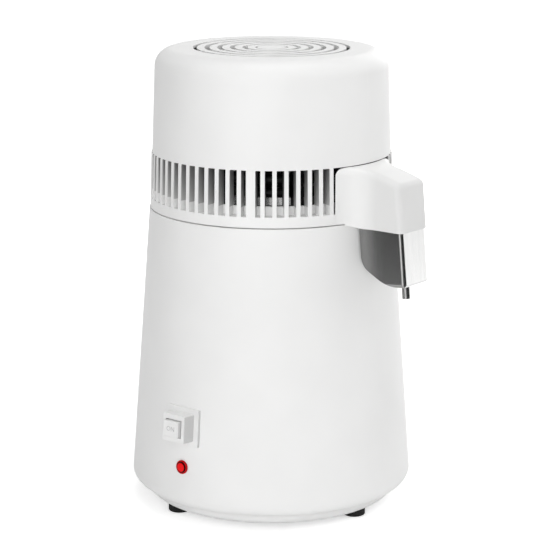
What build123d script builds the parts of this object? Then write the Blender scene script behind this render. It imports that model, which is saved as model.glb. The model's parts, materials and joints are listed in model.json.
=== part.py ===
from build123d import *
import math
import os

# Countertop water distiller: a boiler below and a cooling head that lifts off it.
# Millimetres, +Z up, origin on the axis at counter level, spout along +X, power button facing -Y.

# Clearances and cuts
fit = 0.3
running_fit = 0.05
overrun = 2.0

# Screws: shares of the thread diameter
screw_head_share = 2.0
screw_head_height_share = 0.8
screw_recess_share = 0.3
screw_recess_length_share = 1.4
screw_recess_depth_share = 0.45

# Rubber feet
foot_height = 5.0
foot_diameter = 18.0
foot_round = 1.2
foot_inset = 10.8
foot_first_angle = 253.7
foot_pair_angle = 102.0
foot_stem_diameter = 6.0
foot_barb_diameter = 8.0
foot_barb_height = 1.6

# Base cover
skirt_setback = 13.5
skirt_height = 9.7
skirt_round = 4.9
base_wall = 2.4
base_slot_count = 12
base_slot_length = 24.0
base_slot_width = 4.0
base_slot_circle_radius = 62.0

# Base screws and the bosses that take them
base_screw_count = 4
base_screw_inset = 9.0
base_screw_diameter = 3.0
base_screw_length = 12.0
base_screw_seat = 3.0
boss_wall = 2.4

# Outer housing
housing_foot_radius = 114.8
housing_top_radius = 98.1
housing_height = 226.3
housing_round = 8.2
housing_edge_round = 0.6
housing_wall = 2.5
housing_flange_margin = 2.0
ledge_drop = 2.8
ledge_wall = 2.5

# Boiling tank
tank_wall = 1.0
tank_gap = 1.0
tank_floor_rise = 48.6
tank_round = 12.0
tank_lip_width = 9.0
tank_socket_gap = 1.0
tank_stud_diameter = 6.0
tank_stud_length = 20.0

# Heater under the tank
heater_plate_radius = 50.0
heater_plate_thickness = 6.0
heater_ring_radius = 38.0
heater_tube_diameter = 8.0
heater_ring_angle = 318.0
heater_bend_radius = 6.0
heater_leg_length = 7.0
heater_pin_diameter = 4.0
heater_pin_length = 8.0
clamp_margin = 5.0
clamp_thickness = 2.0
clamp_nut_width = 10.0
clamp_nut_height = 5.0

# Disc thermostats on the tank floor
thermostat_gap = 3.0
thermostat_angles = {"thermostat": 20.0, "thermal_cutout": 200.0}
thermostat_cap_radius = 8.0
thermostat_cap_height = 4.0
thermostat_base_radius = 7.0
thermostat_base_height = 6.0

# Spade terminals
spade_width = 6.3
spade_thickness = 0.8
spade_length = 7.0
spade_spacing = 6.0

# Power switch on the housing wall
switch_angle = -90.0
switch_height = 81.5
switch_flange_width = 31.0
switch_flange_tall = 30.0
switch_flange_thickness = 1.2
switch_flange_round = 1.0
switch_block_side = 22.0
switch_block_depth = 11.5
switch_block_round = 1.6
switch_opening_width = 16.0
switch_opening_tall = 14.0
switch_body_rise = 3.0
switch_body_depth = 11.0
button_side_gap = 0.5
button_end_gap = 0.7
button_rise = 3.4
button_round = 1.0
button_travel = 3.0
button_stem_diameter = 4.0
button_stem_reach = 4.0

# Indicator below the switch
lamp_drop = 33.3
lens_radius = 5.5
lens_rim = 1.5
lens_disc_radius = 3.7
lens_disc_rise = 2.3
lens_groove_width = 0.8
lens_groove_depth = 0.7
lens_round = 0.6
lens_barrel_radius = 4.2
lens_barrel_wall = 1.0
lens_barrel_length = 8.0
lamp_cap_length = 5.0
lamp_bulb_length = 6.5

# Mains inlet at the back of the housing
rear_angle = 180.0
mains_height = 40.0
mains_flange_width = 46.0
mains_flange_tall = 26.0
mains_flange_thickness = 2.4
mains_flange_round = 5.0
mains_body_width = 27.0
mains_body_tall = 20.0
mains_body_depth = 21.0
mains_recess_width = 23.0
mains_recess_tall = 16.0
mains_recess_depth = 16.0
mains_pin_width = 4.0
mains_pin_thickness = 2.0
mains_pin_length = 15.0
mains_pin_spacing = 14.0
mains_earth_offset = 4.0
mains_screw_spacing = 38.0
mains_screw_diameter = 3.0
mains_screw_length = 9.0

# Fan outlet above the mains inlet, and the matching fan inlet at the back of the dome
fan_outlet_height = 80.0
fan_inlet_rise = 52.3
fan_flange_width = 27.0
fan_flange_tall = 17.0
fan_flange_thickness = 2.0
fan_flange_round = 4.0
fan_body_width = 21.0
fan_body_tall = 12.0
fan_body_depth = 13.0
fan_recess_width = 17.0
fan_recess_tall = 9.0
fan_recess_depth = 10.0
fan_recess_round = 3.0
fan_pin_diameter = 2.4
fan_pin_length = 8.0
fan_pin_spacing = 8.6
fan_contact_wall = 0.4
fan_contact_depth = 11.0

# Seal and lid plate that close the tank
seal_height = 3.3
seal_width = 6.0
seal_margin = 2.5
lid_thickness = 1.0

# Vent ring
seam_gap = 0.8
ring_setback = 0.7
ring_draft = 1.2
ring_skirt_wall = 2.4
ring_floor_height = 8.2
ring_floor_wall = 2.5
bar_depth = 8.9
lip_wall = 2.0
lip_height = 7.0
vent_height = 35.7
bar_width = 3.3
pillar_angle = 61.0
pillar_width = 7.2
rear_gap_count = 22
front_bar_count = 7
crown_wall = 2.6
crown_depth = 0.6
crown_rise = 6.3
dome_screw_diameter = 3.0
dome_screw_inset = 3.4
dome_screw_grip = 10.0
dome_boss_wall = 1.2

# Spout hood, moulded with the vent ring
hood_half_width = 17.9
hood_reach = 41.2
hood_drop = 3.0
hood_sweep = 14.0
hood_sweep_round = 24.0
hood_wall = 1.3
hood_roof = 6.0
hood_roof_radius = 150.0
hood_crest_setback = 15.0
hood_crest_drop = 0.1
hood_flare_radius = 28.0
hood_front_round = 5.0
hood_top_round = 5.4
spout_lean = 5.5

# Filter cup under the hood
cup_wall_gap = 0.9
cup_rise = 20.0
cup_drop = 46.5
cup_heel_height = 16.0
cup_heel_length = 24.0
cup_heel_round = 14.0
cup_sole_round = 40.0
cup_front_round = 3.0
cup_corner_round = 3.0
cup_wall = 0.8
cup_outlet_diameter = 7.0
cup_outlet_wall = 0.8
cup_outlet_length = 10.8
cup_outlet_inset = 10.5

# Dome
dome_setback = 0.7
dome_draft = 3.1
dome_height = 82.3
dome_round = 14.5
dome_wall = 2.0
dome_boss_length = 14.0

# Grille in the top of the dome
grille_radius = 62.4
grille_depth = 7.0
grille_hub_radius = 11.5
grille_first_bar_share = 0.26
grille_pitch_share = 0.1608
grille_bar_count = 5
grille_bar_width = 6.0
grille_spoke_count = 6
grille_spoke_width = 3.2
grille_spoke_drop = 1.2

# Condenser coil, steam riser and outlet nozzle
coil_tube_diameter = 8.0
coil_tube_wall = 0.8
coil_pitch = 11.0
coil_quarter_count = 17
coil_entry_radius = 10.0
coil_exit_radius = 16.0
coil_rise = 14.0
coil_gap_limit = 0.4
coil_arc_point_count = 12
coil_neighbour_count = 3
riser_diameter = 11.0
riser_wall = 1.5
riser_head_side = 12.0
riser_head_height = 16.0
nozzle_diameter = 9.6
nozzle_wall = 1.2
nozzle_run = 12.0
nozzle_bend_radius = 8.0
nozzle_drop = 3.0

# Condenser fins: bands round the coil with radial plates
fin_count = 72
fin_thickness = 0.6
fin_gap = 2.0
fin_depth = 10.5
fin_start = 8.5
fin_height = 66.0
band_wall = 1.2
band_height = 3.0
fin_notch_half_width = 9.0

# Motor stand on the lid plate
stand_height = 33.0
stand_plate = 2.0
stand_hub_radius = 22.0
stand_arm_width = 12.0
stand_gap = 7.7
stand_foot_length = 12.0
stand_leg_count = 3
stand_first_angle = 90.0
rivet_diameter = 4.0

# Fan motor
core_side_margin = 4.4
core_front = 17.0
core_leg = 8.0
core_window = 14.0
core_stack = 16.0
rotor_radius = 12.5
air_gap = 0.4
winding_build = 5.0
winding_margin = 1.0
bracket_width = 15.0
bracket_plate = 3.0
bracket_post_height = 7.0
bracket_post_radius = 4.0
bracket_boss_radius = 7.0
bracket_boss_height = 8.0
bearing_radius = 4.0
motor_screw_wall = 1.2
motor_screw_diameter = 3.0
shaft_diameter = 4.0
shaft_head_gap = 7.2

# Fan blade
blade_count = 5
blade_tip_radius = 58.0
blade_root_radius = 9.0
blade_sweep_angle = 46.0
blade_pitch_angle = 26.0
blade_thickness = 1.6
blade_round = 7.0
blade_hub_radius = 12.0
blade_hub_height = 15.0
blade_hub_inset = 5.0
fan_nut_width = 8.0
fan_nut_height = 3.2

# Wires in the base and in the head
wire_diameter = 3.0
wire_bend_radius = 4.5
wire_lead = 10.0
wire_rise = 8.6
wire_circle_inset = 19.3
wire_climb = 24.0
fan_wire_rise = 9.0
fan_wire_angle = 150.0
fan_wire_spread = 6.0
live_wire_angles = (195.0, 240.0, 258.0)
switch_wire_angles = (282.0, 305.0, 345.0)

# Levels worked out from the sizes above
base_z = foot_height
housing_z = base_z + skirt_height
housing_top_z = housing_z + housing_height
ledge_z = housing_top_z - ledge_drop
tank_z = base_z + base_wall + tank_floor_rise
seal_z = ledge_z + tank_wall
lid_z = seal_z + seal_height
lid_top_z = lid_z + lid_thickness
ring_z = housing_top_z + seam_gap
floor_z = ring_z + ring_floor_height
dome_z = floor_z + vent_height
dome_top_z = dome_z + dome_height
hood_z = housing_top_z - hood_drop
crown_top_z = dome_z + crown_rise
fan_inlet_z = dome_z + fan_inlet_rise
lamp_height = switch_height - lamp_drop
heater_z = tank_z - heater_plate_thickness
clamp_z = heater_z - heater_tube_diameter / 2 - clamp_thickness
fin_z = lid_top_z + fin_start
coil_end_z = floor_z + coil_rise
coil_top_z = coil_end_z + coil_pitch * (coil_quarter_count - 1) / 4
stand_top_z = lid_top_z + stand_height + stand_plate
core_z = stand_top_z + bracket_post_height + bracket_plate
core_top_z = core_z + core_stack
motor_top_z = core_top_z + bracket_post_height + bracket_plate
shaft_z = stand_top_z + fit
shaft_top_z = dome_top_z - grille_depth - shaft_head_gap

# Radii and slopes worked out from the sizes above
ring_radius = housing_top_radius - ring_setback
lip_radius = ring_radius - bar_depth
dome_foot_radius = ring_radius - ring_draft - dome_setback
taper = (housing_foot_radius - housing_top_radius) / housing_height
dome_taper = dome_draft / dome_height
skirt_radius = housing_foot_radius - skirt_setback
foot_circle_radius = skirt_radius - foot_inset
foot_angles = [foot_first_angle + turn for turn in (0, foot_pair_angle, 180, 180 + foot_pair_angle)]
foot_places = [Rot(0, 0, angle) * Pos(foot_circle_radius, 0, 0) for angle in foot_angles]
base_screw_circle_radius = skirt_radius - base_screw_inset
wire_circle_radius = skirt_radius - wire_circle_inset
boss_radius = base_screw_diameter / 2 + boss_wall
tank_flange_radius = housing_top_radius + taper * ledge_drop - housing_wall - fit
socket_end_radius = housing_foot_radius - taper * (fan_outlet_height - housing_z) - fan_body_depth
tank_radius = min(tank_flange_radius - tank_lip_width, socket_end_radius - tank_socket_gap)
seal_radius = tank_flange_radius - seal_margin
clamp_radius = heater_ring_radius + clamp_margin
thermostat_circle_radius = heater_plate_radius + thermostat_gap + thermostat_cap_radius
ring_skirt_radius = ring_radius - ring_skirt_wall
lid_radius = ring_skirt_radius - 2 * fit
dome_screw_circle_radius = ring_skirt_radius - dome_screw_inset
fin_radius = lip_radius - lip_wall - fin_gap
band_radius = fin_radius - fin_depth
coil_tube_radius = coil_tube_diameter / 2
coil_radius = band_radius - fit - coil_tube_radius
stand_foot_radius = coil_radius - coil_tube_radius - stand_gap
shaft_radius = shaft_diameter / 2
button_width = switch_opening_width - 2 * button_side_gap
button_tall = switch_opening_tall - 2 * button_end_gap
motor_screw_offset = rotor_radius + air_gap + motor_screw_wall + motor_screw_diameter / 2
core_half_width = motor_screw_offset + core_side_margin
lean_slope = math.tan(math.radians(spout_lean))
lean_stretch = 1 / math.cos(math.radians(spout_lean))

STANDING = (Align.CENTER, Align.CENTER, Align.MIN)


def rod(radius, length, z=0):
    """Solid round bar standing at a height."""
    return Pos(0, 0, z) * Cylinder(radius, length, align=STANDING)


def pipe(outer, inner, length, z=0):
    """Round tube standing at a height."""
    return rod(outer, length, z) - rod(inner, length + 2 * overrun, z - overrun)


def block(width, depth, height, z=0):
    """Rectangular bar standing at a height."""
    return Pos(0, 0, z) * Box(width, depth, height, align=STANDING)


def rounded_block(width, depth, height, corner, z=0):
    """Rectangular bar with rounded upright edges, standing at a height."""
    return Pos(0, 0, z) * extrude(RectangleRounded(width, depth, corner), amount=height)


def outline(points, rounds=()):
    """Closed flat outline with the numbered corners rounded."""
    flat = make_face(Polyline(*points, close=True))
    for corner, radius in rounds:
        place = Vector(points[corner][0], points[corner][1], 0)
        flat = fillet(flat.vertices().sort_by_distance(place)[0], radius)
    return flat


def turned(points, rounds=()):
    """Solid turned about the axis from an outline of radius and height."""
    return revolve(Plane.XZ * outline(points, rounds), Axis.Z)


def around(shape, radius, count, first_angle=0):
    """Copies of a shape set evenly round the axis."""
    return [place * shape for place in PolarLocations(radius, count, first_angle)]


def hexagon(width, height, bore, z=0):
    """Hexagon nut of a width across flats."""
    flat = RegularPolygon(width / 2, 6, major_radius=False)
    return Pos(0, 0, z) * extrude(flat, amount=height) - rod(bore, height + 2 * overrun, z - overrun)


def screw(diameter, length):
    """Cross-head screw pointing up, its head under the seat at zero."""
    head = screw_head_height_share * diameter
    shape = rod(diameter / 2, length) + rod(screw_head_share * diameter / 2, head, -head)
    depth = screw_recess_depth_share * diameter
    slot = block(screw_recess_length_share * diameter, screw_recess_share * diameter, depth, -head)
    return shape - slot - Rot(0, 0, 90) * slot


def spade():
    """Flat push-on terminal standing on zero."""
    return block(spade_width, spade_thickness, spade_length)


def housing_radius(z):
    """Outer radius of the tapered housing at a height."""
    return housing_foot_radius - taper * (z - housing_z)


def housing_inner(z):
    """Inner radius of the tapered housing at a height."""
    return housing_radius(z) - housing_wall


def dome_radius(z):
    """Outer radius of the dome wall at a height."""
    return dome_foot_radius - dome_taper * (z - dome_z)


def wall_frame(angle, z, radius, slope):
    """Plane on a tapered wall, local z outward and local y up the wall."""
    turn = math.radians(angle)
    outward = Vector(math.cos(turn), math.sin(turn), slope)
    sideways = Vector(-math.sin(turn), math.cos(turn), 0)
    place = Vector(radius * math.cos(turn), radius * math.sin(turn), z)
    return Plane(place, x_dir=sideways, z_dir=outward)


def housing_frame(angle, z):
    """Plane on the housing wall."""
    return wall_frame(angle, z, housing_radius(z), taper)


switch_frame = housing_frame(switch_angle, switch_height).location
lamp_frame = housing_frame(switch_angle, lamp_height).location
mains_frame = housing_frame(rear_angle, mains_height).location
fan_outlet_frame = housing_frame(rear_angle, fan_outlet_height).location
fan_inlet_frame = wall_frame(rear_angle, fan_inlet_z, dome_radius(fan_inlet_z), dome_taper).location


def rubber_foot():
    """Foot pad with a stem and barb that snap into the base cover."""
    radius = foot_diameter / 2
    stem = foot_stem_diameter / 2
    barb = foot_barb_diameter / 2
    barb_z = base_z + base_wall
    return turned([
        (0, 0), (radius, 0), (radius, base_z), (stem, base_z), (stem, barb_z),
        (barb, barb_z), (stem, barb_z + foot_barb_height), (0, barb_z + foot_barb_height),
    ], [(1, foot_round)])


def base_cover():
    """Shallow dish under the housing with screw posts, foot holes and air slots."""
    inner = skirt_radius - base_wall
    floor = base_z + base_wall
    shell = turned([
        (0, base_z), (skirt_radius, base_z), (skirt_radius, housing_z),
        (inner, housing_z), (inner, floor), (0, floor),
    ], [(1, skirt_round), (4, skirt_round - base_wall)])
    head = screw_head_share * base_screw_diameter / 2 + fit
    post = rod(head + boss_wall, skirt_height, base_z)
    well = rod(head, skirt_height - base_screw_seat + overrun, base_z - overrun)
    hole = rod(base_screw_diameter / 2 + fit, skirt_height + 2 * overrun, base_z - overrun)
    first = 180 / base_screw_count
    shell += around(post, base_screw_circle_radius, base_screw_count, first)
    shell -= around(well + hole, base_screw_circle_radius, base_screw_count, first)
    foot_hole = rod(foot_stem_diameter / 2 + fit, base_wall + 2 * overrun, base_z - overrun)
    shell -= [place * foot_hole for place in foot_places]
    slot = extrude(SlotOverall(base_slot_length, base_slot_width), amount=base_wall + 2 * overrun)
    shell -= around(Pos(0, 0, base_z - overrun) * slot, base_slot_circle_radius, base_slot_count)
    return shell


def base_screws():
    """Screws that hold the base cover to the housing."""
    one = Pos(0, 0, housing_z - base_screw_seat) * screw(base_screw_diameter, base_screw_length)
    return Compound(around(one, base_screw_circle_radius, base_screw_count, 180 / base_screw_count))


def housing_form():
    """Outer form of the housing, filled."""
    return turned([
        (0, housing_z), (housing_foot_radius, housing_z),
        (housing_top_radius, housing_top_z), (0, housing_top_z),
    ], [(1, housing_round)])


def wall_holes():
    """Holes in the housing wall for the switch, the lamp and the rear sockets."""
    deep = 2 * (housing_wall + overrun)
    play = 2 * fit
    holes = [
        switch_frame * Box(switch_opening_width + play, switch_opening_tall + play, deep),
        lamp_frame * Cylinder(lens_barrel_radius + fit, deep),
        mains_frame * Box(mains_body_width + play, mains_body_tall + play, deep),
        fan_outlet_frame * Box(fan_body_width + play, fan_body_tall + play, deep),
    ]
    for side in (-1, 1):
        place = Pos(side * mains_screw_spacing / 2, 0, 0)
        holes.append(mains_frame * place * Cylinder(mains_screw_diameter / 2 + running_fit, deep))
    return holes


def outer_housing():
    """Tapered shell with a ledge for the tank inside its rim and a flange under it."""
    flange_top = housing_z + housing_wall
    opening = base_screw_circle_radius - boss_radius - housing_flange_margin
    ledge_under = ledge_z - ledge_wall
    ledge_edge = tank_radius + tank_gap
    shell = turned([
        (opening, housing_z), (housing_foot_radius, housing_z), (housing_top_radius, housing_top_z),
        (housing_inner(housing_top_z), housing_top_z), (housing_inner(ledge_z), ledge_z),
        (ledge_edge, ledge_z), (ledge_edge, ledge_under), (housing_inner(ledge_under), ledge_under),
        (housing_inner(flange_top), flange_top), (opening, flange_top),
    ], [(1, housing_round), (2, housing_edge_round), (8, housing_round - housing_wall)])
    boss = rod(boss_radius, base_screw_length, housing_z)
    hole = rod(base_screw_diameter / 2 + running_fit, base_screw_length + 2 * overrun, housing_z - overrun)
    first = 180 / base_screw_count
    shell += around(boss, base_screw_circle_radius, base_screw_count, first)
    shell -= around(hole, base_screw_circle_radius, base_screw_count, first)
    return shell - wall_holes()


def boiling_tank():
    """Drawn pot hung by its flange, with a stud under its floor for the heater."""
    inner = tank_radius - tank_wall
    pot = turned([
        (0, tank_z), (tank_radius, tank_z), (tank_radius, ledge_z), (tank_flange_radius, ledge_z),
        (tank_flange_radius, seal_z), (inner, seal_z), (inner, tank_z + tank_wall), (0, tank_z + tank_wall),
    ], [(1, tank_round), (5, tank_wall), (6, tank_round - tank_wall)])
    return pot + rod(tank_stud_diameter / 2, tank_stud_length, tank_z - tank_stud_length)


def heater_plate():
    """Spreader plate under the tank, grooved for the element."""
    plate = rod(heater_plate_radius, heater_plate_thickness, heater_z)
    plate -= rod(tank_stud_diameter / 2 + fit, heater_plate_thickness + 2 * overrun, heater_z - overrun)
    return plate - heater_form(heater_tube_diameter / 2 + fit)


def heater_leg(angle, side):
    """Top of an upright end of the element."""
    place = Pos(heater_ring_radius, side * heater_bend_radius, heater_z - heater_bend_radius)
    return (Rot(0, 0, angle) * place).position


def heater_ends():
    """Tops of the two upright ends of the element."""
    return [heater_leg(0, -1), heater_leg(heater_ring_angle, 1)]


def heater_form(radius):
    """Round bar along the ring of the element and down its two ends."""
    first, last = heater_ends()
    down = Vector(0, 0, heater_leg_length)
    ring = CenterArc((0, 0, heater_z), heater_ring_radius, 0, heater_ring_angle)
    path = [Line(first - down, first), TangentArc(first, ring @ 0, tangent=(0, 0, 1)), ring,
            TangentArc(ring @ 1, last, tangent=ring % 1), Line(last, last - down)]
    return sweep(Plane(first - down, z_dir=(0, 0, 1)) * Circle(radius), path=Wire(path))


def heater_element():
    """Sheathed ring with its two ends turned down to pins."""
    pin = rod(heater_pin_diameter / 2, heater_pin_length, -heater_leg_length - heater_pin_length)
    return heater_form(heater_tube_diameter / 2) + [Pos(*place) * pin for place in heater_ends()]


def heater_clamp():
    """Pressed disc that holds the element up against the plate."""
    disc = rod(clamp_radius, clamp_thickness, clamp_z)
    disc -= rod(tank_stud_diameter / 2 + fit, clamp_thickness + 2 * overrun, clamp_z - overrun)
    return disc - heater_form(heater_tube_diameter / 2 + fit)


def clamp_nut():
    """Nut on the stud under the clamp."""
    bore = tank_stud_diameter / 2 + running_fit
    return hexagon(clamp_nut_width, clamp_nut_height, bore, clamp_z - clamp_nut_height)


def disc_thermostat(angle):
    """Snap-disc switch with its cap against the tank floor and two spades below."""
    cap_z = tank_z - thermostat_cap_height
    low_z = cap_z - thermostat_base_height
    shape = rod(thermostat_cap_radius, thermostat_cap_height, cap_z)
    shape += rod(thermostat_base_radius, thermostat_base_height, low_z)
    for side in (-1, 1):
        shape += Pos(side * spade_spacing / 2, 0, low_z - spade_length) * Rot(0, 0, 90) * spade()
    return Rot(0, 0, angle) * Pos(thermostat_circle_radius, 0, 0) * shape


def switch_bezel():
    """Flange plate and square block round the button, fitted to the housing wall."""
    plate = rounded_block(switch_flange_width, switch_flange_tall, switch_flange_thickness + housing_wall,
                          switch_flange_round, -housing_wall)
    tall = switch_flange_thickness + switch_block_depth + housing_wall
    guard = rounded_block(switch_block_side, switch_block_side, tall, switch_block_round, -housing_wall)
    opening = block(switch_opening_width, switch_opening_tall, tall + 2 * overrun, -housing_wall - overrun)
    return switch_frame * (plate + guard) - housing_form() - switch_frame * opening


def switch_body():
    """Snap-action switch in the opening of the bezel, its spades pointing down."""
    width = switch_opening_width - 2 * running_fit
    tall = switch_opening_tall - 2 * running_fit
    shape = block(width, tall, switch_body_depth + switch_body_rise, -switch_body_depth)
    bore = button_stem_reach + button_travel + fit
    shape -= rod(button_stem_diameter / 2 + fit, bore + overrun, switch_body_rise - bore)
    for side in (-1, 1):
        place = Pos(side * spade_spacing / 2, -tall / 2, -switch_body_depth / 2 - housing_wall)
        shape += place * Rot(90, 0, 0) * Rot(0, 0, 90) * spade()
    return switch_frame * shape


def power_button():
    """Push button with a stem that reaches into the switch."""
    face = switch_flange_thickness + switch_block_depth + button_rise
    back = switch_body_rise + button_travel + fit
    cap = rounded_block(button_width, button_tall, face - back, button_round, back)
    cap = fillet(cap.faces().sort_by(Axis.Z)[-1].edges(), button_round / 2)
    stem = rod(button_stem_diameter / 2, back - switch_body_rise + button_stem_reach,
               switch_body_rise - button_stem_reach)
    return switch_frame * (cap + stem)


def indicator_lens():
    """Red lens with a raised disc, a groove round it and a barrel through the wall."""
    groove = lens_disc_radius + lens_groove_width
    groove_z = lens_rim - lens_groove_depth
    cap = turned([
        (0, -housing_wall), (lens_radius, -housing_wall), (lens_radius, lens_rim), (groove, lens_rim),
        (groove, groove_z), (lens_disc_radius, groove_z),
        (lens_disc_radius, lens_disc_rise), (0, lens_disc_rise),
    ], [(2, lens_round), (6, lens_round)])
    bore = lens_barrel_radius - lens_barrel_wall
    barrel = pipe(lens_barrel_radius, bore, lens_barrel_length, -lens_barrel_length)
    return (lamp_frame * cap - housing_form()) + lamp_frame * barrel


def indicator_lamp():
    """Small bulb in the barrel of the lens, with its cap against the barrel."""
    bulb = lens_barrel_radius - lens_barrel_wall - fit
    cap = rod(lens_barrel_radius, lamp_cap_length, -lens_barrel_length - lamp_cap_length)
    glass = rod(bulb, lamp_bulb_length - bulb, -lens_barrel_length)
    tip = Pos(0, 0, lamp_bulb_length - lens_barrel_length - bulb) * Sphere(bulb)
    return lamp_frame * (cap + glass + tip)


def mains_pin_places():
    """Where the live, neutral and earth pins stand in the mains inlet."""
    half = mains_pin_spacing / 2
    return [Pos(-half, 0, 0), Pos(half, 0, 0), Pos(0, mains_earth_offset, 0)]


def mains_pins():
    """Three flat pins that pass through the floor of the inlet to spades behind it."""
    length = mains_pin_length + mains_body_depth - mains_recess_depth + spade_length
    pin = block(mains_pin_thickness, mains_pin_width, length, -mains_body_depth - spade_length)
    return Compound([mains_frame * place * pin for place in mains_pin_places()])


def mains_inlet():
    """Recessed power inlet with a flange fitted to the back of the housing."""
    flange = rounded_block(mains_flange_width, mains_flange_tall, mains_flange_thickness + housing_wall,
                           mains_flange_round, -housing_wall)
    flange = mains_frame * flange - housing_form()
    deep = mains_body_depth + mains_flange_thickness
    body = mains_frame * block(mains_body_width, mains_body_tall, deep, -mains_body_depth)
    open_depth = mains_recess_depth + mains_flange_thickness + overrun
    recess = block(mains_recess_width, mains_recess_tall, open_depth, -mains_recess_depth)
    hole = Cylinder(mains_screw_diameter / 2 + fit, 2 * (mains_flange_thickness + housing_wall + overrun))
    holes = [mains_frame * Pos(side * mains_screw_spacing / 2, 0, 0) * hole for side in (-1, 1)]
    return flange + body - mains_frame * recess - holes - mains_pins().solids()


def mains_screws():
    """Two screws through the ears of the mains inlet."""
    one = Pos(0, 0, mains_flange_thickness) * Rot(180, 0, 0) * screw(mains_screw_diameter, mains_screw_length)
    return Compound([mains_frame * Pos(side * mains_screw_spacing / 2, 0, 0) * one for side in (-1, 1)])


def fan_socket(frame, form):
    """Small two-pole socket body with a flange fitted to the wall that carries it."""
    reach = fan_flange_thickness + housing_wall
    flange = rounded_block(fan_flange_width, fan_flange_tall, reach, fan_flange_round, -housing_wall)
    body = block(fan_body_width, fan_body_tall, fan_body_depth + fan_flange_thickness, -fan_body_depth)
    return (frame * flange - form) + frame * body


def fan_pole_places():
    """Where the two poles stand in the fan sockets."""
    return [Pos(side * fan_pin_spacing / 2, 0, 0) for side in (-1, 1)]


def fan_outlet():
    """Socket in the back of the housing that feeds the head."""
    bore = rod(fan_pin_diameter / 2 + fan_contact_wall + running_fit, fan_contact_depth + overrun,
               fan_flange_thickness - fan_contact_depth)
    bores = [fan_outlet_frame * place * bore for place in fan_pole_places()]
    return fan_socket(fan_outlet_frame, housing_form()) - bores


def fan_outlet_contacts():
    """Sprung sleeves in the fan outlet."""
    radius = fan_pin_diameter / 2
    sleeve = pipe(radius + fan_contact_wall, radius, fan_contact_depth - fan_flange_thickness,
                  fan_flange_thickness - fan_contact_depth)
    return Compound([fan_outlet_frame * place * sleeve for place in fan_pole_places()])


def fan_inlet():
    """Recessed inlet in the back of the dome."""
    open_depth = fan_recess_depth + fan_flange_thickness + overrun
    recess = rounded_block(fan_recess_width, fan_recess_tall, open_depth, fan_recess_round, -fan_recess_depth)
    hole = rod(fan_pin_diameter / 2 + running_fit, fan_body_depth + overrun, -fan_body_depth - overrun)
    shape = fan_socket(fan_inlet_frame, dome_form()) - fan_inlet_frame * recess
    return shape - [fan_inlet_frame * place * hole for place in fan_pole_places()]


def fan_inlet_pins():
    """Two round pins in the fan inlet."""
    length = fan_pin_length + fan_body_depth - fan_recess_depth + spade_length
    pin = rod(fan_pin_diameter / 2, length, -fan_body_depth - spade_length)
    return Compound([fan_inlet_frame * place * pin for place in fan_pole_places()])


def lid_seal():
    """Soft ring between the tank flange and the lid plate."""
    return pipe(seal_radius, seal_radius - seal_width, seal_height, seal_z)


def lid_plate():
    """Plate under the head that closes the tank, with holes for the riser and the rivets."""
    plate = rod(lid_radius, lid_thickness, lid_z)
    deep = lid_thickness + 2 * overrun
    plate -= riser_place() * rod(riser_diameter / 2 + running_fit, deep, lid_z - overrun)
    return plate - around(rod(rivet_diameter / 2 + running_fit, deep, lid_z - overrun),
                          rivet_circle_radius, stand_leg_count, stand_first_angle)


def bar_angles():
    """Angles of the thin bars of the vent ring, mirrored about the spout."""
    step = (180 - pillar_angle) / rear_gap_count
    half = [pillar_angle - step * k for k in range(1, front_bar_count + 1)]
    half += [pillar_angle + step * k for k in range(1, rear_gap_count)]
    return half + [-angle for angle in half]


def pillar_angles():
    """Angles of the wide bars that the dome screws pass through."""
    return [pillar_angle, 180, -pillar_angle]


def ring_face(z):
    """Outer radius of the vent ring at a height."""
    return ring_radius - ring_draft * (z - ring_z) / (dome_z - ring_z)


def vent_bar(angle, width):
    """Upright bar from the lip to the outer face of the ring."""
    low = floor_z - ring_floor_wall / 2
    inner = lip_radius - lip_wall / 2
    side = outline([(inner, low), (ring_face(low), low), (ring_face(dome_z), dome_z), (inner, dome_z)])
    return Rot(0, 0, angle) * extrude(Plane.XZ * side, amount=width / 2, both=True)


def hood_front(z):
    """Reach of the hood's leaning front face at a height."""
    return cup_back_x + hood_reach * lean_stretch - (z - hood_z) * lean_slope


def hood_arch(drop):
    """Long round bar across the spout whose upper side is the hood's roof, lowered by a drop."""
    place = Pos(ring_radius - hood_crest_setback, 0, dome_z - hood_crest_drop - hood_roof_radius)
    return place * Rot(90, 0, 0) * Cylinder(hood_roof_radius - drop, 2 * ring_radius)


def hood_cavity():
    """Space inside the hood for the top of the filter cup."""
    back = cup_back_x - cup_rise * lean_slope - fit * lean_stretch
    low = hood_z - overrun
    inset = hood_wall * lean_stretch
    side = outline([
        (back, low), (hood_front(low) - inset, low), (hood_front(dome_z) - inset, dome_z), (back, dome_z),
    ])
    half = hood_half_width - hood_wall
    space = extrude(Plane.XZ * side, amount=half, both=True) & hood_arch(hood_roof)
    for edge_y in (-half, half):
        corner = Vector(hood_front(hood_z) - inset, edge_y, hood_z)
        space = fillet(space.edges().sort_by_distance(corner)[0], hood_front_round - hood_wall)
    return space


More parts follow.
